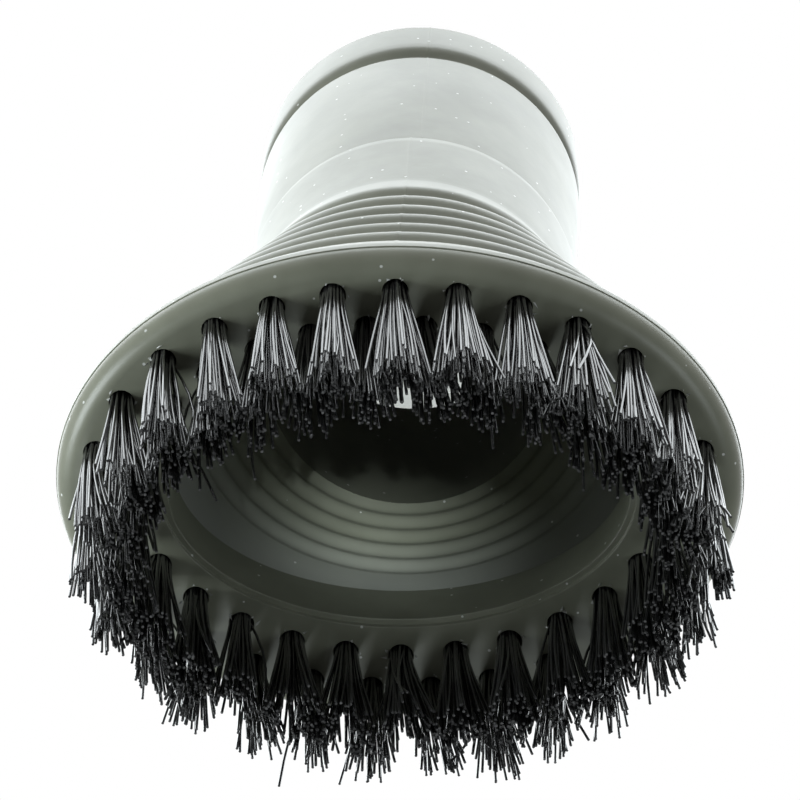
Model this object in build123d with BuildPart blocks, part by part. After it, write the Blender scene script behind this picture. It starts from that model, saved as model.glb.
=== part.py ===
"""Dusting brush for a vacuum cleaner wand: an oval bristle head on a round socket.

The brush stands on its bristle tips. The origin is at the middle of the plane of the tips, +Z runs up
the socket's axis, and X is the long axis of the oval head. Lengths are in millimetres.
"""

from build123d import *

import os
from math import cos, radians, sin

# Head: the oval rim, seen from above
HEAD_LENGTH = 76.0
HEAD_WIDTH = 56.0
RIM_BAND_HEIGHT = 1.3
RIM_BAND_STEP = 0.35
FACE_DROP = 2.7
DOME_WIDTH = 2.3
DOME_STEPS = 4
RING_WIDTH = 12.6
RING_THICKNESS = 8.3
LIP_STEP_WIDTH = 0.7
LIP_STEP_DEPTH = 0.6

# Bristles: two staggered rows of tufts
TUFT_COUNT = 27
BRISTLE_LENGTH = 19.0
HOLE_DIAMETER = 2.8
HOLE_DEPTH = 6.5
TUFT_CLEARANCE = 0.05
TUFT_TIP_DIAMETER = 4.0
TUFT_LEAN = 1.2
TUFT_SIDES = 8
OUTER_ROW_INSET = 4.2
ROW_SPACING = 4.15
ROW_START = 0.75  # share of the way round, from +X, of the first outer tuft: the middle of the -Y side

# Anchors: a flat staple through the bend of each tuft
ANCHOR_THICKNESS = 0.4
ANCHOR_HEIGHT = 1.2
ANCHOR_SEAT = 0.9
ANCHOR_CLEARANCE = 0.05

# Bell: rounded ribs between grooves, from the oval rim up to the round neck
GROOVE_COUNT = 6
RIB_PITCH = 6.1
FIRST_GROOVE = 6.4
GROOVE_DEPTH = 0.9
RIB_SHOULDER_DROP = 0.3
SHOULDER_SHARE = 0.17
TOP_RIB_HEIGHT = 6.5
BELL_CURVE = 1.12

# Inside of the bell: a funnel with soft ripples that narrows to the air bore
FUNNEL_WALL = 4.2
FUNNEL_CURVE = 0.9
FUNNEL_END_DROP = 10.4
RIPPLE_COUNT = 5
RIPPLE_PITCH = 2.8
RIPPLE_DEPTH = 0.25

# Socket tube
SOCKET_DIAMETER = 35.2
SOCKET_DEPTH = 41.0
SOCKET_LEAD_IN = 0.8
WAND_STOP_WIDTH = 0.9
SLEEVE_WALL = 2.7
SLEEVE_LENGTH = 43.9
SLEEVE_FLARE = 1.3
NECK_STEP = 0.4
NECK_LENGTH = 16.9
COLLAR_HEIGHT = 7.6
COLLAR_FOOT_HEIGHT = 2.6
WAIST_LENGTH = 5.2
WAIST_DEPTH = 0.9
EDGE_ROUND = 0.4
NECK_TAPER = 0.25
NECK_TAPER_HEIGHT = 1.7

# Heights above the plane of the bristle tips
FACE_Z = BRISTLE_LENGTH
RIM_Z = FACE_Z + FACE_DROP
RING_TOP_Z = FACE_Z + RING_THICKNESS
BELL_BASE_Z = RIM_Z + RIM_BAND_HEIGHT
BELL_TOP_Z = RIM_Z + FIRST_GROOVE + (GROOVE_COUNT - 1) * RIB_PITCH + TOP_RIB_HEIGHT
NECK_TOP_Z = BELL_TOP_Z + NECK_LENGTH
END_Z = NECK_TOP_Z + SLEEVE_LENGTH
COLLAR_Z = END_Z - COLLAR_HEIGHT
WAIST_Z = COLLAR_Z - WAIST_LENGTH
STOP_Z = END_Z - SOCKET_DEPTH
FUNNEL_TOP_Z = BELL_TOP_Z - FUNNEL_END_DROP

# Half sizes and radii
HEAD_A = HEAD_LENGTH / 2
HEAD_B = HEAD_WIDTH / 2
SOCKET_R = SOCKET_DIAMETER / 2
AIR_BORE_R = SOCKET_R - WAND_STOP_WIDTH
SLEEVE_R = SOCKET_R + SLEEVE_WALL
NECK_R = SLEEVE_R + NECK_STEP
COLLAR_R = SLEEVE_R + SLEEVE_FLARE
HOLE_R = HOLE_DIAMETER / 2
TUFT_R = HOLE_R - TUFT_CLEARANCE


def bell_axes(z, drop=0.0):
    """Half axes of the bell's outline at height z, a drop below the crest of the ribs."""
    share = (BELL_TOP_Z - z) / (BELL_TOP_Z - RIM_Z)
    spread = max(share, 0.0) ** BELL_CURVE
    half_x = NECK_R + (HEAD_A - NECK_R) * spread - drop
    half_y = NECK_R + (HEAD_B - NECK_R) * spread - drop
    return half_x, half_y


def funnel_axes(z, drop=0.0):
    """Half axes of the funnel at height z, where a drop is a ripple that stands into the funnel."""
    share = (FUNNEL_TOP_Z - z) / (FUNNEL_TOP_Z - RIM_Z)
    spread = max(share, 0.0) ** FUNNEL_CURVE
    half_x = AIR_BORE_R + (HEAD_A - FUNNEL_WALL - AIR_BORE_R) * spread - drop
    half_y = AIR_BORE_R + (HEAD_B - FUNNEL_WALL - AIR_BORE_R) * spread - drop
    return half_x, half_y


def sleeve_radius(z):
    """Radius of the sleeve's outside, which widens evenly from the neck to the open end."""
    return SLEEVE_R + SLEEVE_FLARE * (z - NECK_TOP_Z) / SLEEVE_LENGTH


def dome_stations():
    """Heights and insets of the face's rounded edge, a quarter round in DOME_STEPS flat bands."""
    stations = []
    for step in range(DOME_STEPS + 1):
        turn = radians(90.0 * step / DOME_STEPS)
        stations.append((RIM_Z - FACE_DROP * cos(turn), RIM_BAND_STEP + DOME_WIDTH * (1 - sin(turn))))
    return stations


def bell_stations():
    """Heights and drops of the bell's sections: each rib is a crest between two shoulders."""
    stations = [(BELL_BASE_Z, RIB_SHOULDER_DROP)]
    for groove in range(GROOVE_COUNT):
        groove_z = RIM_Z + FIRST_GROOVE + groove * RIB_PITCH
        stations.append((groove_z - RIB_PITCH / 2, 0.0))
        stations.append((groove_z - RIB_PITCH * SHOULDER_SHARE, RIB_SHOULDER_DROP))
        stations.append((groove_z, GROOVE_DEPTH))
        stations.append((groove_z + RIB_PITCH * SHOULDER_SHARE, RIB_SHOULDER_DROP))
    stations.append((groove_z + RIB_PITCH / 2, 0.0))
    stations.append(((groove_z + RIB_PITCH / 2 + BELL_TOP_Z) / 2, 0.0))
    stations.append((BELL_TOP_Z, 0.0))
    return stations


def funnel_stations():
    """Heights and drops of the funnel's sections, from the ring's top up to the air bore."""
    ripple_base = FUNNEL_TOP_Z - RIPPLE_COUNT * RIPPLE_PITCH
    stations = [(RING_TOP_Z, 0.0), ((RING_TOP_Z + ripple_base) / 2, 0.0)]
    for ripple in range(RIPPLE_COUNT):
        stations.append((ripple_base + ripple * RIPPLE_PITCH, RIPPLE_DEPTH))
        stations.append((ripple_base + (ripple + 0.5) * RIPPLE_PITCH, -RIPPLE_DEPTH))
    stations.append((FUNNEL_TOP_Z, 0.0))
    return stations


def row_points(row_shift, phase):
    """Tuft centres on one row, evenly spaced along the outer row and moved inward by row_shift."""
    with BuildLine() as outer_row:
        EllipticalCenterArc((0, 0), HEAD_A - OUTER_ROW_INSET, HEAD_B - OUTER_ROW_INSET, arc_size=360)
    row = outer_row.edge()
    places = []
    for tuft in range(TUFT_COUNT):
        share = (ROW_START + (tuft + phase) / TUFT_COUNT) % 1.0
        tangent = row.tangent_at(share)
        inward = Vector(-tangent.Y, tangent.X, 0)
        angle = tangent.get_signed_angle(Vector(1, 0, 0), Vector(0, 0, -1))
        places.append((row.position_at(share) + inward * row_shift, inward, angle))
    return places


OUTER_ROW = row_points(0.0, 0.0)
INNER_ROW = row_points(ROW_SPACING, 0.5)
HOLE_TOP_Z = FACE_Z + HOLE_DEPTH
TUFT_TOP_Z = HOLE_TOP_Z - TUFT_CLEARANCE
ANCHOR_Z = TUFT_TOP_Z - ANCHOR_SEAT - ANCHOR_HEIGHT

# Body: ring and rim band, bell, neck, sleeve and collar in one moulding
with BuildPart() as body:
    for height, inset in dome_stations():
        with BuildSketch(Plane.XY.offset(height)):
            Ellipse(HEAD_A - inset, HEAD_B - inset)
    loft(ruled=True)
    with BuildSketch(Plane.XY.offset(RIM_Z)):
        Ellipse(HEAD_A, HEAD_B)
    extrude(amount=RIM_BAND_HEIGHT)

    for height, drop in bell_stations():
        with BuildSketch(Plane.XY.offset(height)):
            Ellipse(*bell_axes(height, drop))
    loft(ruled=True)

    waist_radius = sleeve_radius(WAIST_Z) - WAIST_DEPTH
    with BuildSketch(Plane.XZ) as tube_profile:
        with BuildLine():
            Polyline(
                (0, BELL_TOP_Z),
                (NECK_R, BELL_TOP_Z),
                (NECK_R, NECK_TOP_Z - NECK_TAPER_HEIGHT),
                (NECK_R - NECK_TAPER, NECK_TOP_Z),
                (SLEEVE_R, NECK_TOP_Z),
                (sleeve_radius(WAIST_Z), WAIST_Z),
                (waist_radius, WAIST_Z),
                (waist_radius, COLLAR_Z - COLLAR_FOOT_HEIGHT),
                (sleeve_radius(COLLAR_Z), COLLAR_Z),
                (COLLAR_R, END_Z),
                (0, END_Z),
                close=True,
            )
        make_face()
        collar_end = tube_profile.vertices().group_by(Axis.Y)[-1].sort_by(Axis.X)[-1]
        fillet(collar_end, EDGE_ROUND)
    revolve(axis=Axis.Z)

    # Inside: mouth with a stepped lip, funnel, air bore, and the socket above the wand stop
    with BuildSketch(Plane.XY.offset(FACE_Z)):
        Ellipse(HEAD_A - RING_WIDTH, HEAD_B - RING_WIDTH)
    extrude(amount=RING_THICKNESS, mode=Mode.SUBTRACT)
    with BuildSketch(Plane.XY.offset(FACE_Z)):
        Ellipse(HEAD_A - RING_WIDTH + LIP_STEP_WIDTH, HEAD_B - RING_WIDTH + LIP_STEP_WIDTH)
    extrude(amount=LIP_STEP_DEPTH, mode=Mode.SUBTRACT)

    for height, drop in funnel_stations():
        with BuildSketch(Plane.XY.offset(height)):
            Ellipse(*funnel_axes(height, drop))
    loft(ruled=True, mode=Mode.SUBTRACT)
    with BuildSketch(Plane.XY.offset(FUNNEL_TOP_Z)):
        Circle(AIR_BORE_R)
    extrude(amount=STOP_Z - FUNNEL_TOP_Z, mode=Mode.SUBTRACT)
    with BuildSketch(Plane.XY.offset(STOP_Z)):
        Circle(SOCKET_R)
    extrude(amount=SOCKET_DEPTH, mode=Mode.SUBTRACT)
    socket_mouth = body.edges().filter_by(GeomType.CIRCLE).group_by(Axis.Z)[-1].sort_by(SortBy.RADIUS)[0]
    chamfer(socket_mouth, SOCKET_LEAD_IN)

    # Blind holes for the tufts
    for row in (OUTER_ROW, INNER_ROW):
        with BuildSketch(Plane.XY.offset(FACE_Z)):
            with Locations([centre for centre, inward, angle in row]):
                Circle(HOLE_R)
        extrude(amount=HOLE_DEPTH, mode=Mode.SUBTRACT)
body.part.label = "body"

# Anchors: flat staples across the holes, through the bends of the tufts
with BuildPart() as anchors:
    with BuildSketch(Plane.XY.offset(ANCHOR_Z)):
        for centre, inward, angle in OUTER_ROW + INNER_ROW:
            with Locations(Location(centre, (0, 0, angle))):
                Rectangle(2 * TUFT_R, ANCHOR_THICKNESS)
    extrude(amount=ANCHOR_HEIGHT)
anchors.part.label = "tuft_anchors"


def make_tuft(centre, inward, angle):
    """One tuft: straight in its hole, with a slot for the anchor, then flared and leaning to its tip."""
    with BuildPart() as tuft:
        with BuildSketch(Plane.XY) as tip:
            with Locations(centre + inward * TUFT_LEAN):
                RegularPolygon(TUFT_TIP_DIAMETER / 2, TUFT_SIDES)
        with BuildSketch(Plane.XY.offset(FACE_Z)) as root:
            with Locations(centre):
                RegularPolygon(TUFT_R, TUFT_SIDES)
        loft(ruled=True)
        extrude(root.sketch, amount=HOLE_DEPTH - TUFT_CLEARANCE)
        with BuildSketch(Plane.XY.offset(ANCHOR_Z - ANCHOR_CLEARANCE)):
            with Locations(Location(centre, (0, 0, angle))):
                Rectangle(HOLE_DIAMETER, ANCHOR_THICKNESS + 2 * ANCHOR_CLEARANCE)
        extrude(amount=ANCHOR_HEIGHT + 2 * ANCHOR_CLEARANCE, mode=Mode.SUBTRACT)
    return tuft.part


os.makedirs("parts", exist_ok=True)
export_step(body.part, "parts/body.step")
export_step(anchors.part, "parts/tuft_anchors.step")
for row_name, row in (("outer", OUTER_ROW), ("inner", INNER_ROW)):
    for number, (centre, inward, angle) in enumerate(row, start=1):
        bundle = make_tuft(centre, inward, angle)
        bundle.label = f"{row_name}_tuft_{number:02d}"
        export_step(bundle, f"parts/{bundle.label}.step")
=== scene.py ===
"""Looks of the vacuum dusting brush: a moulded body with ribs and two rows of bristle tufts.

Lengths are in metres. The brush stands on its bristle tips at z = 0, with its round socket on top.
"""

import math

import bpy
import numpy as np
from mathutils import Matrix, Vector
from mathutils.geometry import delaunay_2d_cdt


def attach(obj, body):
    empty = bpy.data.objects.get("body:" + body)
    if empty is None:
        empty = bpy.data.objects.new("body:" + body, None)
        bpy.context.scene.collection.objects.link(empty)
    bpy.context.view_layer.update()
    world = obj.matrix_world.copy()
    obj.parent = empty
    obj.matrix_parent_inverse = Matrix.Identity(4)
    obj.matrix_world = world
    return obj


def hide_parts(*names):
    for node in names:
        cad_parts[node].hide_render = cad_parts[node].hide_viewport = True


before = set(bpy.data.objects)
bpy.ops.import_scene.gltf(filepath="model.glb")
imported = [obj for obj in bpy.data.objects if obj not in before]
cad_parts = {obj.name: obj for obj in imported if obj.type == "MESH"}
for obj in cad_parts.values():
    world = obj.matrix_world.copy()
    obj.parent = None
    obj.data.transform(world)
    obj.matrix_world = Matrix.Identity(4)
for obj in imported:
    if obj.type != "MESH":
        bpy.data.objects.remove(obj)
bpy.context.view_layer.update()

MM = 0.001

# Head, ring and mouth
HEAD_A = 38.0 * MM
HEAD_B = 28.0 * MM
FACE_Z = 19.0 * MM
RIM_Z = 21.7 * MM
RIM_BAND_HEIGHT = 1.3 * MM
RIM_BAND_STEP = 0.12 * MM
RIM_BAND_FOOT_ROUND = 0.2 * MM
RIM_BAND_TOP_ROUND = 0.35 * MM
DOME_WIDTH = 2.3 * MM
RING_WIDTH = 12.6 * MM
RING_TOP_Z = 27.3 * MM
LIP_STEP_WIDTH = 0.7 * MM
LIP_STEP_DEPTH = 0.6 * MM
MOUTH_ROUNDS = (0.4 * MM, 0.2 * MM, 0.08 * MM, 0.2 * MM)

# Bell and its ribs
BELL_BASE_Z = RIM_Z + RIM_BAND_HEIGHT
BELL_TOP_Z = 65.1 * MM
BELL_CURVE = 1.12
BELL_FOOT_SET_BACK = 0.4 * MM
BELL_FOOT_RISE = 0.01 * MM
GROOVE_COUNT = 6
RIB_PITCH = 6.1 * MM
FIRST_GROOVE = 6.4 * MM
GROOVE_DEPTH = 1.1 * MM

# Funnel inside the bell
FUNNEL_WALL = 4.2 * MM
FUNNEL_CURVE = 0.9
FUNNEL_TOP_Z = 54.7 * MM
RIPPLE_COUNT = 5
RIPPLE_PITCH = 2.8 * MM
RIPPLE_DEPTH = 0.25 * MM

# Socket tube
SOCKET_R = 17.6 * MM
AIR_BORE_R = 16.7 * MM
SLEEVE_R = 20.3 * MM
NECK_R = 20.7 * MM
COLLAR_R = 21.6 * MM
NECK_TOP_Z = 82.0 * MM
STOP_Z = 84.9 * MM
END_Z = 125.9 * MM
COLLAR_Z = 118.3 * MM
COLLAR_FOOT_HEIGHT = 2.6 * MM
WAIST_Z = 113.1 * MM
WAIST_DEPTH = 0.9 * MM
COLLAR_EDGE_HEIGHT = 0.5 * MM
SOCKET_LEAD_IN = 0.8 * MM
NECK_TAPER = 0.25 * MM
NECK_TAPER_HEIGHT = 1.7 * MM
NECK_FOOT_GAP = 1 * MM
GUTTER_DEPTH = 0.1 * MM
GUTTER_HEIGHT = 0.45 * MM
STEP_HEIGHT = 0.05 * MM

# Bend in the collar's foot, as shares of the foot's height and of its step in radius
COLLAR_FOOT_BEND = (0.35, 0.12)

# Rounds of the tube's corners, in their order up the outside and down into the socket
NECK_ROUNDS = (0.5 * MM, 0.08 * MM, 0.04 * MM, 0.1 * MM)
WAIST_ROUNDS = (0.12 * MM, 0.2 * MM, 0.5 * MM, 1.6 * MM, 0.5 * MM)
SOCKET_ROUNDS = (0.4 * MM, 0.2 * MM, 0.2 * MM, 0.2 * MM, 0.25 * MM)

# Parting line of the mould, along the middle of the long sides
SEAM_HEIGHT = 0.05 * MM
SEAM_WIDTH = 0.16 * MM
SEAM_RIM_GAP = 0.5 * MM
SLEEVE_SEAM_TURN = math.radians(3.9)
LONG_SIDES = (math.pi / 2, 3 * math.pi / 2)

# Tufts; a row starts at a share of its length, counted from +X
TUFT_COUNT = 27
HOLE_R = 1.4 * MM
HOLE_DEPTH = 6.5 * MM
HOLE_CHAMFER = 0.06 * MM
OUTER_ROW_INSET = 4.2 * MM
ROW_SPACING = 4.15 * MM
ROW_START = 0.75

# Mesh density
RING_POINTS = 240
HOLE_POINTS = 28
DOME_STEPS = 14
RIB_STEPS = 20
BELL_TOP_STEPS = 8
RIPPLE_STEPS = 10
FUNNEL_FOOT_STEPS = 8
ROW_SAMPLES = 4001

# Limits: a round's share of a side, the least gap of two ring angles, and the face's mesh tests
LONGEST_ARM = 0.45
ANGLE_GAP = 1e-3
FACE_TOLERANCE = 1e-9
MOUTH_SHARE = 0.9995
CHAMFER_SHARE = 0.9


def bell_axes(z, drop):
    """Half axes of the bell's outline at height z, a drop below the crest of the ribs."""
    spread = max((BELL_TOP_Z - z) / (BELL_TOP_Z - RIM_Z), 0.0) ** BELL_CURVE
    return NECK_R + (HEAD_A - NECK_R) * spread - drop, NECK_R + (HEAD_B - NECK_R) * spread - drop


def funnel_axes(z, drop=0.0):
    """Half axes of the funnel at height z, where a drop is a ripple that stands into the funnel."""
    spread = max((FUNNEL_TOP_Z - z) / (FUNNEL_TOP_Z - RIM_Z), 0.0) ** FUNNEL_CURVE
    half_x = AIR_BORE_R + (HEAD_A - FUNNEL_WALL - AIR_BORE_R) * spread - drop
    half_y = AIR_BORE_R + (HEAD_B - FUNNEL_WALL - AIR_BORE_R) * spread - drop
    return half_x, half_y


def corner(before, point, after, radius, steps=5):
    """Stations that round off the corner at point, where each station is (z, half x, half y)."""
    before, point, after = (np.array(p, float) for p in (before, point, after))
    arms = []
    for end in (before, after):
        reach = np.linalg.norm(end - point)
        arms.append(point + (end - point) * min(radius / reach, LONGEST_ARM))
    start, end = arms
    stations = []
    for step in range(steps + 1):
        t = step / steps
        stations.append((1 - t) ** 2 * start + 2 * t * (1 - t) * point + t * t * end)
    return stations


def rounded(points, radii):
    """An open row of stations with each inner corner rounded by its own radius."""
    stations = [np.array(points[0], float)]
    for before, point, after, radius in zip(points, points[1:], points[2:], radii):
        stations += corner(before, point, after, radius)
    stations.append(np.array(points[-1], float))
    return stations


def round_station(z, radius):
    return z, radius, radius


def head_stations():
    """The domed edge of the face and the rim band, from the flat face up to the bell's base."""
    stations = []
    for step in range(DOME_STEPS + 1):
        turn = math.pi / 2 * step / DOME_STEPS
        inset = RIM_BAND_STEP + DOME_WIDTH * (1 - math.sin(turn))
        stations.append((RIM_Z - (RIM_Z - FACE_Z) * math.cos(turn), HEAD_A - inset, HEAD_B - inset))
    band_foot = (RIM_Z, HEAD_A, HEAD_B)
    band_top = (BELL_BASE_Z, HEAD_A, HEAD_B)
    bell_foot = (BELL_BASE_Z + BELL_FOOT_RISE, *bell_axes(BELL_BASE_Z, BELL_FOOT_SET_BACK))
    stations += corner(stations[-1], band_foot, band_top, RIM_BAND_FOOT_ROUND, 3)
    stations += corner(band_foot, band_top, bell_foot, RIM_BAND_TOP_ROUND, 5)
    return stations


def rib_drop(z):
    """How far the bell's surface lies below the crest of the ribs at height z."""
    place = (z - RIM_Z - FIRST_GROOVE) / RIB_PITCH
    nearest = min(max(round(place), 0), GROOVE_COUNT - 1)
    away = min(abs(place - nearest) * 2, 1.0)
    return GROOVE_DEPTH * (1 + math.cos(math.pi * away)) / 2


def bell_stations():
    """The bell from its base to the neck, with closer stations near the bottoms of the grooves."""
    heights = []
    for rib in range(GROOVE_COUNT + 1):
        middle = RIM_Z + FIRST_GROOVE + (rib - 0.5) * RIB_PITCH
        for step in range(RIB_STEPS):
            turn = math.pi * (step / RIB_STEPS - 0.5)
            heights.append(middle + math.sin(turn) * RIB_PITCH / 2)
    last = heights[-1]
    heights += [
        last + (BELL_TOP_Z - last) * k / BELL_TOP_STEPS for k in range(1, BELL_TOP_STEPS + 1)
    ]
    lowest = BELL_BASE_Z + STEP_HEIGHT
    return [(z, *bell_axes(z, rib_drop(z))) for z in heights if z > lowest]


def sleeve_radius(z):
    """Radius of the sleeve's outside, which widens evenly from the neck to the open end."""
    return SLEEVE_R + (COLLAR_R - SLEEVE_R) * (z - NECK_TOP_Z) / (END_Z - NECK_TOP_Z)


def tube_stations():
    """Neck, sleeve and collar, then down inside the socket to the foot of the air bore."""
    waist_r = sleeve_radius(WAIST_Z) - WAIST_DEPTH
    foot_r = sleeve_radius(COLLAR_Z)
    bend_height, bend_inset = COLLAR_FOOT_BEND
    bend_z = COLLAR_Z - bend_height * COLLAR_FOOT_HEIGHT
    edge_z = COLLAR_Z + COLLAR_EDGE_HEIGHT
    points = [
        round_station(BELL_TOP_Z + NECK_FOOT_GAP, NECK_R),
        round_station(NECK_TOP_Z - NECK_TAPER_HEIGHT, NECK_R),
        round_station(NECK_TOP_Z, NECK_R - NECK_TAPER),
        round_station(NECK_TOP_Z + STEP_HEIGHT, SLEEVE_R - GUTTER_DEPTH),
        round_station(NECK_TOP_Z + GUTTER_HEIGHT, SLEEVE_R),
        round_station(WAIST_Z, sleeve_radius(WAIST_Z)),
        round_station(WAIST_Z + STEP_HEIGHT, waist_r),
        round_station(COLLAR_Z - COLLAR_FOOT_HEIGHT, waist_r),
        round_station(bend_z, foot_r - bend_inset * (foot_r - waist_r)),
        round_station(edge_z, sleeve_radius(edge_z)),
        round_station(END_Z, COLLAR_R),
        round_station(END_Z, SOCKET_R + SOCKET_LEAD_IN),
        round_station(END_Z - SOCKET_LEAD_IN, SOCKET_R),
        round_station(STOP_Z, SOCKET_R),
        round_station(STOP_Z, AIR_BORE_R),
        round_station(FUNNEL_TOP_Z, AIR_BORE_R),
    ]
    return rounded(points, NECK_ROUNDS + WAIST_ROUNDS + SOCKET_ROUNDS)


def funnel_stations():
    """The rippled funnel from the air bore down to the ring's top."""
    ripple_base = FUNNEL_TOP_Z - RIPPLE_COUNT * RIPPLE_PITCH
    stations = []
    for step in range(RIPPLE_COUNT * RIPPLE_STEPS):
        z = FUNNEL_TOP_Z - (step + 1) / RIPPLE_STEPS * RIPPLE_PITCH
        drop = RIPPLE_DEPTH * math.cos(2 * math.pi * (z - ripple_base) / RIPPLE_PITCH)
        stations.append((z, *funnel_axes(z, drop)))
    for step in range(1, FUNNEL_FOOT_STEPS + 1):
        z = ripple_base + (RING_TOP_Z - ripple_base) * step / FUNNEL_FOOT_STEPS
        stations.append((z, *funnel_axes(z, RIPPLE_DEPTH * (1 - step / FUNNEL_FOOT_STEPS))))
    return stations


def mouth_stations():
    """The ring's top, the mouth's wall and the stepped lip, down to the flat face."""
    mouth_a, mouth_b = HEAD_A - RING_WIDTH, HEAD_B - RING_WIDTH
    points = [
        (RING_TOP_Z, *funnel_axes(RING_TOP_Z)),
        (RING_TOP_Z, mouth_a, mouth_b),
        (FACE_Z + LIP_STEP_DEPTH, mouth_a, mouth_b),
        (FACE_Z + LIP_STEP_DEPTH, mouth_a + LIP_STEP_WIDTH, mouth_b + LIP_STEP_WIDTH),
        (FACE_Z, mouth_a + LIP_STEP_WIDTH, mouth_b + LIP_STEP_WIDTH),
        (FACE_Z, mouth_a + 3 * LIP_STEP_WIDTH, mouth_b + 3 * LIP_STEP_WIDTH),
    ]
    return rounded(points, MOUTH_ROUNDS)[1:-1]


def ring_angles():
    """Angles of the points on each ring, with extra ones that carry the parting line."""
    even = [2 * math.pi * k / RING_POINTS for k in range(RING_POINTS)]
    fine = []
    for middle in LONG_SIDES:
        for turn in (0, SLEEVE_SEAM_TURN):
            fine += [middle + turn + k * SEAM_WIDTH / 2 / NECK_R for k in (-3, -2, -1, 0, 1, 2, 3)]
    spaced = [a for a in even if min(abs(a - f) for f in fine) > ANGLE_GAP]
    return np.array(sorted(spaced + fine))


def ellipse_point(share):
    """Point on the outer row at a share of its length from +X, and the inward normal there."""
    a, b = HEAD_A - OUTER_ROW_INSET, HEAD_B - OUTER_ROW_INSET
    turns = np.linspace(0, 2 * math.pi, ROW_SAMPLES)
    xy = np.stack([a * np.cos(turns), b * np.sin(turns)], 1)
    along = np.concatenate([[0], np.cumsum(np.linalg.norm(np.diff(xy, axis=0), axis=1))])
    turn = float(np.interp(share % 1.0 * along[-1], along, turns))
    tangent = Vector((-a * math.sin(turn), b * math.cos(turn))).normalized()
    return Vector((a * math.cos(turn), b * math.sin(turn))), Vector((-tangent.y, tangent.x))


def tuft_places(row_shift, phase):
    """Centres and inward directions of one row's tufts."""
    places = []
    for tuft in range(TUFT_COUNT):
        centre, inward = ellipse_point(ROW_START + (tuft + phase) / TUFT_COUNT)
        places.append((centre + inward * row_shift, inward))
    return places


OUTER_ROW = tuft_places(0.0, 0.0)
INNER_ROW = tuft_places(ROW_SPACING, 0.5)


def new_piece(name, vertices, faces, sharp_angle):
    """A mesh object of the brush, smooth apart from edges sharper than sharp_angle in degrees."""
    mesh = bpy.data.meshes.new(name)
    mesh.from_pydata(vertices, [], faces)
    mesh.validate()
    mesh.shade_smooth()
    mesh.set_sharp_from_angle(angle=math.radians(sharp_angle))
    piece = bpy.data.objects.new(name, mesh)
    bpy.context.scene.collection.objects.link(piece)
    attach(piece, "root")
    return piece


def seam_profile(angles, seam_turn):
    """Share of the parting line's height at each angle, for both long sides."""
    profile = np.zeros(len(angles))
    for middle in LONG_SIDES:
        away = (angles - middle - seam_turn) * NECK_R
        profile += np.exp(-(away / SEAM_WIDTH) ** 2)
    return profile


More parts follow.
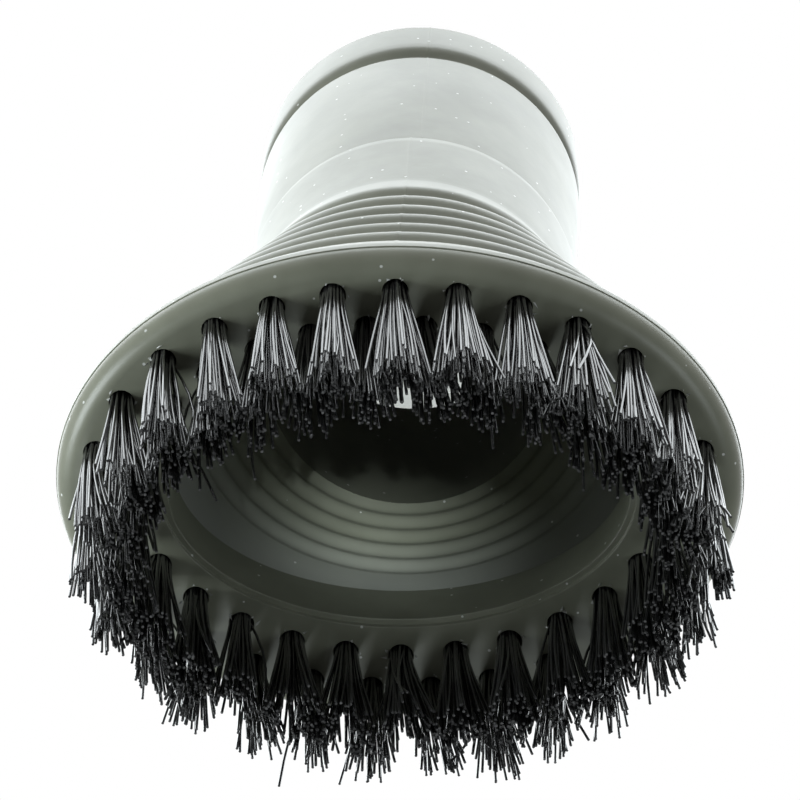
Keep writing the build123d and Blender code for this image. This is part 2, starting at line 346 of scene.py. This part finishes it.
def build_body():
    """The moulding as one closed skin: rings along its section, and the face with its holes."""
    outer_stations = head_stations() + bell_stations() + tube_stations()
    funnel = funnel_stations()
    stations = np.array(outer_stations + funnel + mouth_stations())
    angles = ring_angles()
    around = len(angles)
    bell_seam = seam_profile(angles, 0.0)
    sleeve_seam = seam_profile(angles, SLEEVE_SEAM_TURN)
    outside = np.arange(len(stations)) < np.argmax(stations[:, 0])
    vertices = []
    for (z, half_x, half_y), outer in zip(stations, outside):
        seam = sleeve_seam if z > NECK_TOP_Z else bell_seam
        has_seam = outer and z > BELL_BASE_Z and half_x < HEAD_A - SEAM_RIM_GAP
        lift = seam * SEAM_HEIGHT if has_seam else 0 * seam
        x = (half_x + lift) * np.cos(angles)
        y = (half_y + lift) * np.sin(angles)
        vertices += [(px, py, z) for px, py in zip(x, y)]
    faces = []
    for ring in range(len(stations) - 1):
        low, high = ring * around, (ring + 1) * around
        for k in range(around):
            after = (k + 1) % around
            faces.append((low + k, low + after, high + after, high + k))

    # The flat face: a triangle mesh between the mouth's lip and the dome, with the holes left open
    outline = [Vector(v[:2]) for v in vertices[:around]]
    lip_start = (len(stations) - 1) * around
    lip = [Vector(v[:2]) for v in vertices[lip_start:]]
    flat = outline + lip
    source = list(range(around)) + list(range(lip_start, lip_start + around))
    edges = [(k, (k + 1) % around) for k in range(around)]
    edges += [(around + k, around + (k + 1) % around) for k in range(around)]
    holes = [centre for centre, _ in OUTER_ROW + INNER_ROW]
    turns = [2 * math.pi * k / HOLE_POINTS for k in range(HOLE_POINTS)]
    circle = [Vector((math.cos(t), math.sin(t))) for t in turns]
    for centre in holes:
        first = len(flat)
        base = len(vertices)
        for radius, z in (
            (HOLE_R + HOLE_CHAMFER, FACE_Z),
            (HOLE_R, FACE_Z + HOLE_CHAMFER),
            (HOLE_R, FACE_Z + HOLE_DEPTH),
        ):
            vertices += [(*(centre + radius * c), z) for c in circle]
        vertices.append((*centre, FACE_Z + HOLE_DEPTH))
        for k in range(HOLE_POINTS):
            after = (k + 1) % HOLE_POINTS
            for level in (0, HOLE_POINTS):
                low, high = base + level, base + level + HOLE_POINTS
                faces.append((low + after, low + k, high + k, high + after))
            deep_ring, deep_middle = base + 2 * HOLE_POINTS, base + 3 * HOLE_POINTS
            faces.append((deep_ring + after, deep_ring + k, deep_middle))
        flat += [centre + (HOLE_R + HOLE_CHAMFER) * c for c in circle]
        source += list(range(base, base + HOLE_POINTS))
        edges += [(first + k, first + (k + 1) % HOLE_POINTS) for k in range(HOLE_POINTS)]
    points, _, triangles, origins, _, _ = delaunay_2d_cdt(flat, edges, [], 0, FACE_TOLERANCE)
    lip_a, lip_b = lip[0].x, max(p.y for p in lip)
    hole_reach = HOLE_R + HOLE_CHAMFER * CHAMFER_SHARE
    for triangle in triangles:
        middle = sum((points[k] for k in triangle), Vector((0, 0))) / 3
        in_mouth = (middle.x / lip_a) ** 2 + (middle.y / lip_b) ** 2 < MOUTH_SHARE
        in_hole = any((middle - centre).length < hole_reach for centre in holes)
        if not in_mouth and not in_hole:
            corners = [source[origins[k][0]] for k in triangle]
            faces.append(tuple(reversed(corners)))
    body = new_piece("body_shell", vertices, faces, sharp_angle=38)
    # The funnel's faces take the second material, which carries painted light
    painted_light_start = (len(outer_stations) - 1) * around
    for face in body.data.polygons[painted_light_start:painted_light_start + len(funnel) * around]:
        face.material_index = 1
    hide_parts("body")
    return body


# Filaments
FILAMENTS_PER_TUFT = 62
FILAMENT_R = 0.16 * MM
FILAMENT_SIDES = 6
FILAMENT_STEPS = 6
FILAMENT_TOP = 4.2 * MM
OUTER_LEAN = 1.4 * MM
INNER_LEAN = 0.6 * MM
LEAN_RANGE = (0.6, 1.4)
TIP_FLARE = 2.4
FLARE_RANGE = (0.9, 1.15)
FLARE_CURVE = 1.25
TUFT_DRIFT = 0.45 * MM
TIP_SCATTER = 0.3 * MM
TIP_UNEVEN = 0.2 * MM
TIP_CLEARANCE = 0.09 * MM
TIP_SHIFT = (0.9 * MM, 0.4 * MM)
STRAY_SHARE = 0.05
STRAY_SPREAD = 1.5 * MM
BOW = 0.15 * MM
STRAY_BOW = 0.6 * MM
SEED = 5


def filament_lines(places, row_lean, random):
    """Centre lines of the filaments of one row, as an array of (filament, step, xyz)."""
    lines = []
    steps = np.linspace(0, 1, FILAMENT_STEPS)
    for centre, inward in places:
        centre, inward = np.array(centre), np.array(inward)
        along = np.array((-inward[1], inward[0]))
        flare = TIP_FLARE * random.uniform(*FLARE_RANGE)
        lean = row_lean * random.uniform(*LEAN_RANGE)
        drift = along * random.normal(0, TUFT_DRIFT)
        for _ in range(FILAMENTS_PER_TUFT):
            turn = random.uniform(0, 2 * math.pi)
            reach = (HOLE_R - FILAMENT_R) * math.sqrt(random.uniform(0, 1))
            offset = reach * (math.cos(turn) * along + math.sin(turn) * inward)
            spread = offset * (flare - 1) + inward * lean + drift + random.normal(0, TIP_SCATTER, 2)
            spread += TIP_SHIFT
            stray = random.uniform() < STRAY_SHARE
            if stray:
                spread += random.normal(0, STRAY_SPREAD, 2)
            bow = random.normal(0, STRAY_BOW if stray else BOW, 2)
            tip_z = abs(random.normal(0, TIP_UNEVEN)) + TIP_CLEARANCE
            z = np.concatenate([[FACE_Z + FILAMENT_TOP], FACE_Z + (tip_z - FACE_Z) * steps])
            below = np.clip((FACE_Z - z) / FACE_Z, 0, 1)
            flared = np.outer(below ** FLARE_CURVE, spread)
            xy = centre + offset + flared + np.outer(np.sin(math.pi * below), bow)
            lines.append(np.column_stack([xy, z]))
    return np.array(lines)


def tubes(lines, radius, sides):
    """Vertices and faces of a thin tube with closed ends along each line."""
    count, steps, _ = lines.shape
    forward = np.gradient(lines, axis=1)
    forward /= np.linalg.norm(forward, axis=2, keepdims=True)
    across = np.cross(forward, np.array((0.0, 1.0, 0.0)))
    across /= np.linalg.norm(across, axis=2, keepdims=True)
    other = np.cross(forward, across)
    turns = 2 * math.pi * np.arange(sides) / sides
    ring = np.cos(turns)[:, None] * across[:, :, None] + np.sin(turns)[:, None] * other[:, :, None]
    vertices = (lines[:, :, None] + radius * ring).reshape(-1, 3)
    first = (np.arange(count * steps) * sides).reshape(count, steps)
    k = np.arange(sides)
    after = (k + 1) % sides
    low, high = first[:, :-1, None], first[:, 1:, None]
    quads = np.stack([low + k, high + k, high + after, low + after], -1).reshape(-1, 4)
    ends = [first[:, 0, None] + k, first[:, -1, None] + k[::-1]]
    return vertices.tolist(), quads.tolist() + ends[0].tolist() + ends[1].tolist()


def build_bristles(name, places, node_prefix, row_lean, random):
    """One row of tufts as filaments, in place of the plain tufts."""
    vertices, faces = tubes(filament_lines(places, row_lean, random), FILAMENT_R, FILAMENT_SIDES)
    bristles = new_piece(name, vertices, faces, sharp_angle=75)
    cut_ends = len(places) * FILAMENTS_PER_TUFT
    for face in bristles.data.polygons[-cut_ends:]:
        face.material_index = 1
    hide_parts(*[f"{node_prefix}_{number:02d}" for number in range(1, TUFT_COUNT + 1)])
    return bristles


# Burrs left by the drill at the edges of the holes
BURRS_PER_HOLE = 4
BURR_LENGTH = (0.2 * MM, 0.6 * MM)
BURR_WIDTH = 0.09 * MM
BURR_WIDTH_RANGE = (0.8, 1.8)
BURR_SINK = 0.04 * MM
BURR_LEAN = 0.8
BURR_DROOP = 0.5
BURR_FLARE = 1.5


def build_burrs(places, random):
    """Small torn chips of plastic, each a closed sliver rooted in the face beside a hole."""
    vertices, faces = [], []
    edge = HOLE_R + HOLE_CHAMFER + 2 * BURR_WIDTH
    for centre, _ in places:
        for _ in range(BURRS_PER_HOLE):
            turn = random.uniform(0, 2 * math.pi)
            out = np.array((math.cos(turn), math.sin(turn), 0))
            side = np.array((-math.sin(turn), math.cos(turn), 0))
            root = np.array((*centre, FACE_Z + BURR_SINK)) + out * edge
            length = random.uniform(*BURR_LENGTH)
            lean = random.normal(0, BURR_LEAN, 2)
            droop = np.array((0, 0, BURR_SINK + BURR_DROOP * length))
            tip = root + length * (lean[0] * out + lean[1] * side) - droop
            width = BURR_WIDTH * random.uniform(*BURR_WIDTH_RANGE)
            inner, half_base = root - width * out, BURR_FLARE * width * side
            first = len(vertices)
            vertices += [tuple(root + width * out), tuple(inner + half_base)]
            vertices += [tuple(inner - half_base), tuple(tip)]
            faces += [(first, first + 1, first + 2), (first, first + 3, first + 1)]
            faces += [(first + 1, first + 3, first + 2), (first + 2, first + 3, first)]
    burrs = new_piece("hole_burrs", vertices, faces, sharp_angle=30)
    return burrs


def new_material(name):
    """A material with one Principled shader; returns it with its node tree and the shader."""
    material = bpy.data.materials.new(name)
    material.use_nodes = True
    nodes = material.node_tree.nodes
    return material, material.node_tree, nodes["Principled BSDF"]


def add_node(tree, kind, **values):
    """A shader node with its input sockets and properties set by name."""
    node = tree.nodes.new(kind)
    for key, value in values.items():
        if hasattr(node, key) and key not in node.inputs:
            setattr(node, key, value)
        else:
            node.inputs[key.replace("_", " ")].default_value = value
    return node


def ramp_node(tree, stops):
    """A colour ramp with stops of (position, grey or rgb)."""
    node = tree.nodes.new("ShaderNodeValToRGB")
    elements = node.color_ramp.elements
    while len(elements) < len(stops):
        elements.new(0.5)
    for element, (position, colour) in zip(elements, stops):
        element.position = position
        element.color = (*colour, 1) if isinstance(colour, tuple) else (colour, colour, colour, 1)
    return node


def noise_tone(tree, stops, **noise):
    """Colour of a ramp that runs over noise in the piece's own space."""
    place = add_node(tree, "ShaderNodeTexCoord")
    texture = add_node(tree, "ShaderNodeTexNoise", **noise)
    tree.links.new(place.outputs["Object"], texture.inputs["Vector"])
    tone = ramp_node(tree, stops)
    tree.links.new(texture.outputs["Fac"], tone.inputs["Fac"])
    return tone.outputs["Color"]


# Colours of the moulding, the pale tone painted into the funnel as light (also the torn chips'
# tone), and the specks of dust
BODY_DARK = (0.206, 0.217, 0.164)
BODY_LIGHT = (0.294, 0.307, 0.238)
BODY_ROUGHNESS = [(0.3, 0.3), (0.75, 0.42)]
# Painted light: from the top height down to the foot, the funnel's wall is painted paler towards
# the mouth, standing in for the light that falls in there
FUNNEL_LIGHT_AND_CHIP_TONE = (0.47, 0.49, 0.465)
PAINTED_LIGHT_FOOT = 31.0 * MM
PAINTED_LIGHT_TOP = 48.0 * MM
PAINTED_LIGHT_COVER = 0.8
DUST_COLOUR = (0.72, 0.74, 0.70)
SPECK_SIZE = 0.12
MANY_SPECKS = 0.8
FEW_SPECKS = 0.95

# Ramp stops of the other materials, as (position, grey)
NYLON_TONES = [(0.3, 0.022), (0.75, 0.042)]
NYLON_ROUGHNESS = [(0.3, 0.10), (0.75, 0.17)]
NYLON_IOR = 1.75
CUT_END_TONES = [(0.45, 0.012), (0.7, 0.14)]
STEEL_TONES = [(0.3, 0.45), (0.7, 0.62)]
CARD_TONES = [(0.3, 0.74), (0.7, 0.8)]
FLOOR_TONES = [(0.3, 0.86), (0.7, 0.89)]


def add_painted_light(tree, place, tone):
    """The plastic's tone with painted light: a paler tone that grows towards the mouth and stands
    in for the light that falls in there.
    """
    height = add_node(tree, "ShaderNodeSeparateXYZ")
    tree.links.new(place.outputs["Object"], height.inputs[0])
    # Share of painted light, none at the top height and most at the foot near the mouth
    light_share = add_node(tree, "ShaderNodeMapRange")
    light_share.inputs["From Min"].default_value = PAINTED_LIGHT_TOP
    light_share.inputs["From Max"].default_value = PAINTED_LIGHT_FOOT
    light_share.inputs["To Max"].default_value = PAINTED_LIGHT_COVER
    tree.links.new(height.outputs["Z"], light_share.inputs["Value"])
    painted_light = add_node(tree, "ShaderNodeMix", data_type="RGBA")
    tree.links.new(light_share.outputs["Result"], painted_light.inputs[0])
    tree.links.new(tone, painted_light.inputs[6])
    painted_light.inputs[7].default_value = (*FUNNEL_LIGHT_AND_CHIP_TONE, 1)
    return painted_light.outputs[2]


def plastic_material(name, dark, light, speck_floor, painted_light=False):
    """Moulded plastic: soft mottling, fine grain, and dust specks, fewer with a higher floor."""
    material, tree, shader = new_material(name)
    links = tree.links
    place = add_node(tree, "ShaderNodeTexCoord")
    stops = [(0.35, dark), (0.7, light)]
    base = noise_tone(tree, stops, Scale=60.0, Detail=4.0, Roughness=0.6)
    # With painted_light, the tone is painted paler towards the mouth as painted light
    if painted_light:
        base = add_painted_light(tree, place, base)

    specks = add_node(tree, "ShaderNodeTexVoronoi", Scale=700.0)
    links.new(place.outputs["Object"], specks.inputs["Vector"])
    near = add_node(tree, "ShaderNodeMath", operation="LESS_THAN")
    near.inputs[1].default_value = SPECK_SIZE
    links.new(specks.outputs["Distance"], near.inputs[0])
    split = add_node(tree, "ShaderNodeSeparateColor")
    links.new(specks.outputs["Color"], split.inputs["Color"])
    chosen = add_node(tree, "ShaderNodeMath", operation="GREATER_THAN")
    chosen.inputs[1].default_value = speck_floor
    links.new(split.outputs["Red"], chosen.inputs[0])
    dust = add_node(tree, "ShaderNodeMath", operation="MULTIPLY")
    links.new(near.outputs[0], dust.inputs[0])
    links.new(chosen.outputs[0], dust.inputs[1])
    colour = add_node(tree, "ShaderNodeMix", data_type="RGBA")
    links.new(dust.outputs[0], colour.inputs[0])
    links.new(base, colour.inputs[6])
    colour.inputs[7].default_value = (*DUST_COLOUR, 1)
    links.new(colour.outputs[2], shader.inputs["Base Color"])

    grain = add_node(tree, "ShaderNodeTexNoise", Scale=1500.0, Detail=3.0)
    links.new(place.outputs["Object"], grain.inputs["Vector"])
    bump = add_node(tree, "ShaderNodeBump", Strength=0.12, Distance=0.00008)
    links.new(grain.outputs["Fac"], bump.inputs["Height"])
    links.new(bump.outputs["Normal"], shader.inputs["Normal"])
    rough = noise_tone(tree, BODY_ROUGHNESS, Scale=25.0, Detail=5.0, Roughness=0.65)
    links.new(rough, shader.inputs["Roughness"])
    return material


def bristle_material():
    """Black nylon filament with a soft shine and a slight change of tone along it."""
    material, tree, shader = new_material("black_nylon")
    links = tree.links
    place = add_node(tree, "ShaderNodeTexCoord")
    tone_noise = add_node(tree, "ShaderNodeTexNoise", Scale=900.0, Detail=2.0)
    links.new(place.outputs["Object"], tone_noise.inputs["Vector"])
    for stops, socket in ((NYLON_TONES, "Base Color"), (NYLON_ROUGHNESS, "Roughness")):
        ramp = ramp_node(tree, stops)
        links.new(tone_noise.outputs["Fac"], ramp.inputs["Fac"])
        links.new(ramp.outputs["Color"], shader.inputs[socket])
    shader.inputs["IOR"].default_value = NYLON_IOR
    return material


def cut_end_material():
    """Cut ends of the filaments, greyer than their sides and each a little different."""
    material, tree, shader = new_material("cut_nylon")
    tone = noise_tone(tree, CUT_END_TONES, Scale=2500.0, Detail=1.0)
    tree.links.new(tone, shader.inputs["Base Color"])
    shader.inputs["Roughness"].default_value = 0.6
    return material


def steel_material():
    """Flat steel wire of the staples, with fine drawing marks."""
    material, tree, shader = new_material("staple_steel")
    tone = noise_tone(tree, STEEL_TONES, Scale=4000.0, Detail=2.0)
    tree.links.new(tone, shader.inputs["Base Color"])
    shader.inputs["Metallic"].default_value = 1.0
    shader.inputs["Roughness"].default_value = 0.35
    return material


# Camera, fitted to the rim, the tuft holes and the tube's circles of the photograph
PHOTO_WIDTH = 800
SENSOR_MM = 36.0
FOCAL_PIXELS = 3804.0
CAMERA_DISTANCE = 0.42
CAMERA_TILT = 23.44
CAMERA_TURN = -4.58
CAMERA_ROLL = 4.11
RIM_PIXEL = (399.2, 484.7)
CLIP_START = 0.01


def place_camera():
    """The camera below the brush, looking up past the bristles, the rim's middle at its pixel."""
    tilt, turn, roll = (math.radians(a) for a in (CAMERA_TILT, CAMERA_TURN, CAMERA_ROLL))
    level_part = math.sin(tilt)
    view = Vector((math.sin(turn) * level_part, math.cos(turn) * level_part, math.cos(tilt)))
    up = (Vector((0, 0, 1)) - view.z * view).normalized()
    right = view.cross(up)
    level = Matrix((
        math.cos(roll) * right + math.sin(roll) * up,
        math.cos(roll) * up - math.sin(roll) * right,
        view,
    ))
    half = PHOTO_WIDTH / 2
    rim_ray = Vector((RIM_PIXEL[0] - half, half - RIM_PIXEL[1], FOCAL_PIXELS)).normalized()
    swing = rim_ray.rotation_difference(Vector((0, 0, 1))).to_matrix()
    axes = swing.transposed() @ level
    turned = Matrix((axes[0], axes[1], -axes[2])).transposed()
    data = bpy.data.cameras.new("photo_camera")
    data.sensor_width = SENSOR_MM
    data.lens = SENSOR_MM * FOCAL_PIXELS / PHOTO_WIDTH
    data.clip_start = CLIP_START
    camera = bpy.data.objects.new("photo_camera", data)
    place = Vector((0, 0, RIM_Z)) - CAMERA_DISTANCE * view
    camera.matrix_world = Matrix.Translation(place) @ turned.to_4x4()
    bpy.context.scene.collection.objects.link(camera)
    bpy.context.scene.camera = camera


# Light: the world's strength, and its grey from straight below to straight above
WORLD_LEVEL = 0.8
SKY_TONES = [(0.36, 0.16), (0.5, 0.4), (0.75, 0.8), (0.95, 1.0)]
LAMP_COLOUR = (0.93, 1.0, 1.03)

# Panels, as (name, place, side, power, target)
PANELS = (
    ("overhead_panel", (0, 0, 1.1), 2.0, 28.0, (0, 0, 0.06)),
    ("low_back_panel", (-0.12, 0.48, -0.72), 0.22, 0.75, (0, 0, 0.02)),
    ("left_panel", (-0.2, -0.03, -0.06), 0.1, 0.31, (-0.037, 0, 0.018)),
    ("right_panel", (0.17, -0.05, -0.12), 0.1, 0.075, (0.037, 0, 0.018)),
)

# Spot that shines through the mouth; the width is its cone's at the target, flattened one way
MOUTH_LAMP_PLACE = (0.04, -0.24, -0.43)
MOUTH_LAMP_TARGET = (-0.003, 0.0185, 0.047)
MOUTH_LAMP_WIDTH = 0.030
MOUTH_LAMP_FLATNESS = 0.45
MOUTH_LAMP_SIZE = 0.008
MOUTH_LAMP_POWER = 13.5

# Card in the socket and the floor
CARD_GAP = 1.2 * MM
CARD_R = 17.4 * MM
CARD_SIDES = 48
FLOOR_REACH = 4.0


def place_lamp(data, place, target):
    """A lamp at place that points at target and shows in no view itself."""
    data.color = LAMP_COLOUR
    lamp = bpy.data.objects.new(data.name, data)
    lamp.location = place
    lamp.rotation_euler = (Vector(target) - Vector(place)).to_track_quat("-Z", "Y").to_euler()
    lamp.visible_camera = False
    bpy.context.scene.collection.objects.link(lamp)
    return lamp


def add_panel(name, place, size, power, target):
    """A square soft lamp of the given side."""
    data = bpy.data.lights.new(name, "AREA")
    data.shape = "SQUARE"
    data.size = size
    data.energy = power
    place_lamp(data, place, target)


def add_mouth_lamp():
    """A narrow soft spot that reaches through the mouth to the far wall of the funnel."""
    data = bpy.data.lights.new("mouth_spot", "SPOT")
    distance = (Vector(MOUTH_LAMP_TARGET) - Vector(MOUTH_LAMP_PLACE)).length
    data.spot_size = 2 * math.atan(MOUTH_LAMP_WIDTH / 2 / distance)
    data.spot_blend = 1.0
    data.shadow_soft_size = MOUTH_LAMP_SIZE
    data.energy = MOUTH_LAMP_POWER
    lamp = place_lamp(data, MOUTH_LAMP_PLACE, MOUTH_LAMP_TARGET)
    lamp.scale.y = MOUTH_LAMP_FLATNESS


def light_scene():
    """A surround that is white to see and dimmer as light, with the lamps and the card."""
    world = bpy.data.worlds.new("white_room")
    bpy.context.scene.world = world
    world.use_nodes = True
    tree = world.node_tree
    links = tree.links
    background = tree.nodes["Background"]
    path = tree.nodes.new("ShaderNodeLightPath")
    seen = add_node(tree, "ShaderNodeMath", operation="MAXIMUM")
    links.new(path.outputs["Is Camera Ray"], seen.inputs[0])
    links.new(path.outputs["Is Glossy Ray"], seen.inputs[1])
    seen_through = add_node(tree, "ShaderNodeMath", operation="MAXIMUM")
    links.new(seen.outputs[0], seen_through.inputs[0])
    links.new(path.outputs["Is Transmission Ray"], seen_through.inputs[1])
    level = add_node(tree, "ShaderNodeMapRange")
    level.inputs["To Min"].default_value = WORLD_LEVEL
    level.inputs["To Max"].default_value = 1.0
    links.new(seen_through.outputs[0], level.inputs["Value"])
    links.new(level.outputs["Result"], background.inputs["Strength"])

    direction = add_node(tree, "ShaderNodeTexCoord")
    height = add_node(tree, "ShaderNodeSeparateXYZ")
    links.new(direction.outputs["Generated"], height.inputs[0])
    shade = ramp_node(tree, SKY_TONES)
    rise = add_node(tree, "ShaderNodeMapRange")
    rise.inputs["From Min"].default_value = -1.0
    links.new(height.outputs["Z"], rise.inputs["Value"])
    links.new(rise.outputs["Result"], shade.inputs["Fac"])
    tint = add_node(tree, "ShaderNodeMix", data_type="RGBA")
    links.new(path.outputs["Is Camera Ray"], tint.inputs[0])
    links.new(shade.outputs["Color"], tint.inputs[6])
    tint.inputs[7].default_value = (1, 1, 1, 1)
    links.new(tint.outputs[2], background.inputs["Color"])

    for name, place, size, power, target in PANELS:
        add_panel(name, place, size, power, target)
    add_mouth_lamp()
    add_tube_card()


def add_tube_card():
    """A pale disc in the socket above the stop, unseen, that keeps the light out of the bore."""
    turns = [2 * math.pi * k / CARD_SIDES for k in range(CARD_SIDES)]
    mesh = bpy.data.meshes.new("tube_card")
    ring = [(CARD_R * math.cos(t), CARD_R * math.sin(t), STOP_Z + CARD_GAP) for t in turns]
    mesh.from_pydata(ring, [], [tuple(range(CARD_SIDES))])
    card = bpy.data.objects.new("tube_card", mesh)
    bpy.context.scene.collection.objects.link(card)
    material, tree, shader = new_material("pale_card")
    tone = noise_tone(tree, CARD_TONES, Scale=800.0)
    tree.links.new(tone, shader.inputs["Base Color"])
    shader.inputs["Roughness"].default_value = 0.9
    mesh.materials.append(material)
    card.visible_camera = False


def build_floor():
    """A pale floor with the brush's shadow from above; from below, light and views pass through."""
    mesh = bpy.data.meshes.new("floor")
    signs = ((-1, -1), (1, -1), (1, 1), (-1, 1))
    corners = [(FLOOR_REACH * x, FLOOR_REACH * y, 0) for x, y in signs]
    mesh.from_pydata(corners, [], [(0, 1, 2, 3)])
    floor = bpy.data.objects.new("floor", mesh)
    bpy.context.scene.collection.objects.link(floor)
    material, tree, shader = new_material("pale_floor")
    links = tree.links
    tone = noise_tone(tree, FLOOR_TONES, Scale=3.0, Detail=2.0)
    links.new(tone, shader.inputs["Base Color"])
    shader.inputs["Roughness"].default_value = 0.9
    path = tree.nodes.new("ShaderNodeLightPath")
    geometry = tree.nodes.new("ShaderNodeNewGeometry")
    shown = add_node(tree, "ShaderNodeMath", operation="SUBTRACT", use_clamp=True)
    links.new(path.outputs["Is Camera Ray"], shown.inputs[0])
    links.new(geometry.outputs["Backfacing"], shown.inputs[1])
    clear = tree.nodes.new("ShaderNodeBsdfTransparent")
    mix = tree.nodes.new("ShaderNodeMixShader")
    links.new(shown.outputs[0], mix.inputs["Fac"])
    links.new(clear.outputs[0], mix.inputs[1])
    links.new(shader.outputs[0], mix.inputs[2])
    links.new(mix.outputs[0], tree.nodes["Material Output"].inputs["Surface"])
    mesh.materials.append(material)


random = np.random.default_rng(SEED)
body = build_body()
moulded = plastic_material("moulded_plastic", BODY_DARK, BODY_LIGHT, MANY_SPECKS)
# Second body material: the funnel's wall painted paler towards the mouth as painted light, with a
# few dust specks
funnel_painted_light = plastic_material("funnel_painted_light", BODY_DARK, BODY_LIGHT, FEW_SPECKS, painted_light=True)
body.data.materials.append(moulded)
body.data.materials.append(funnel_painted_light)
burrs = build_burrs(OUTER_ROW + INNER_ROW, np.random.default_rng(SEED))
burrs.data.materials.append(plastic_material("torn_plastic", FUNNEL_LIGHT_AND_CHIP_TONE, DUST_COLOUR, FEW_SPECKS))
nylon = bristle_material()
cut_nylon = cut_end_material()
rows = (("outer", OUTER_ROW, OUTER_LEAN), ("inner", INNER_ROW, INNER_LEAN))
for row_name, row, row_lean in rows:
    bristles = build_bristles(f"{row_name}_bristles", row, f"{row_name}_tuft", row_lean, random)
    bristles.data.materials.append(nylon)
    bristles.data.materials.append(cut_nylon)
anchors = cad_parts["tuft_anchors"]
anchors.data.materials.clear()
anchors.data.materials.append(steel_material())

place_camera()
light_scene()
build_floor()
bpy.context.scene.view_settings.view_transform = "Standard"
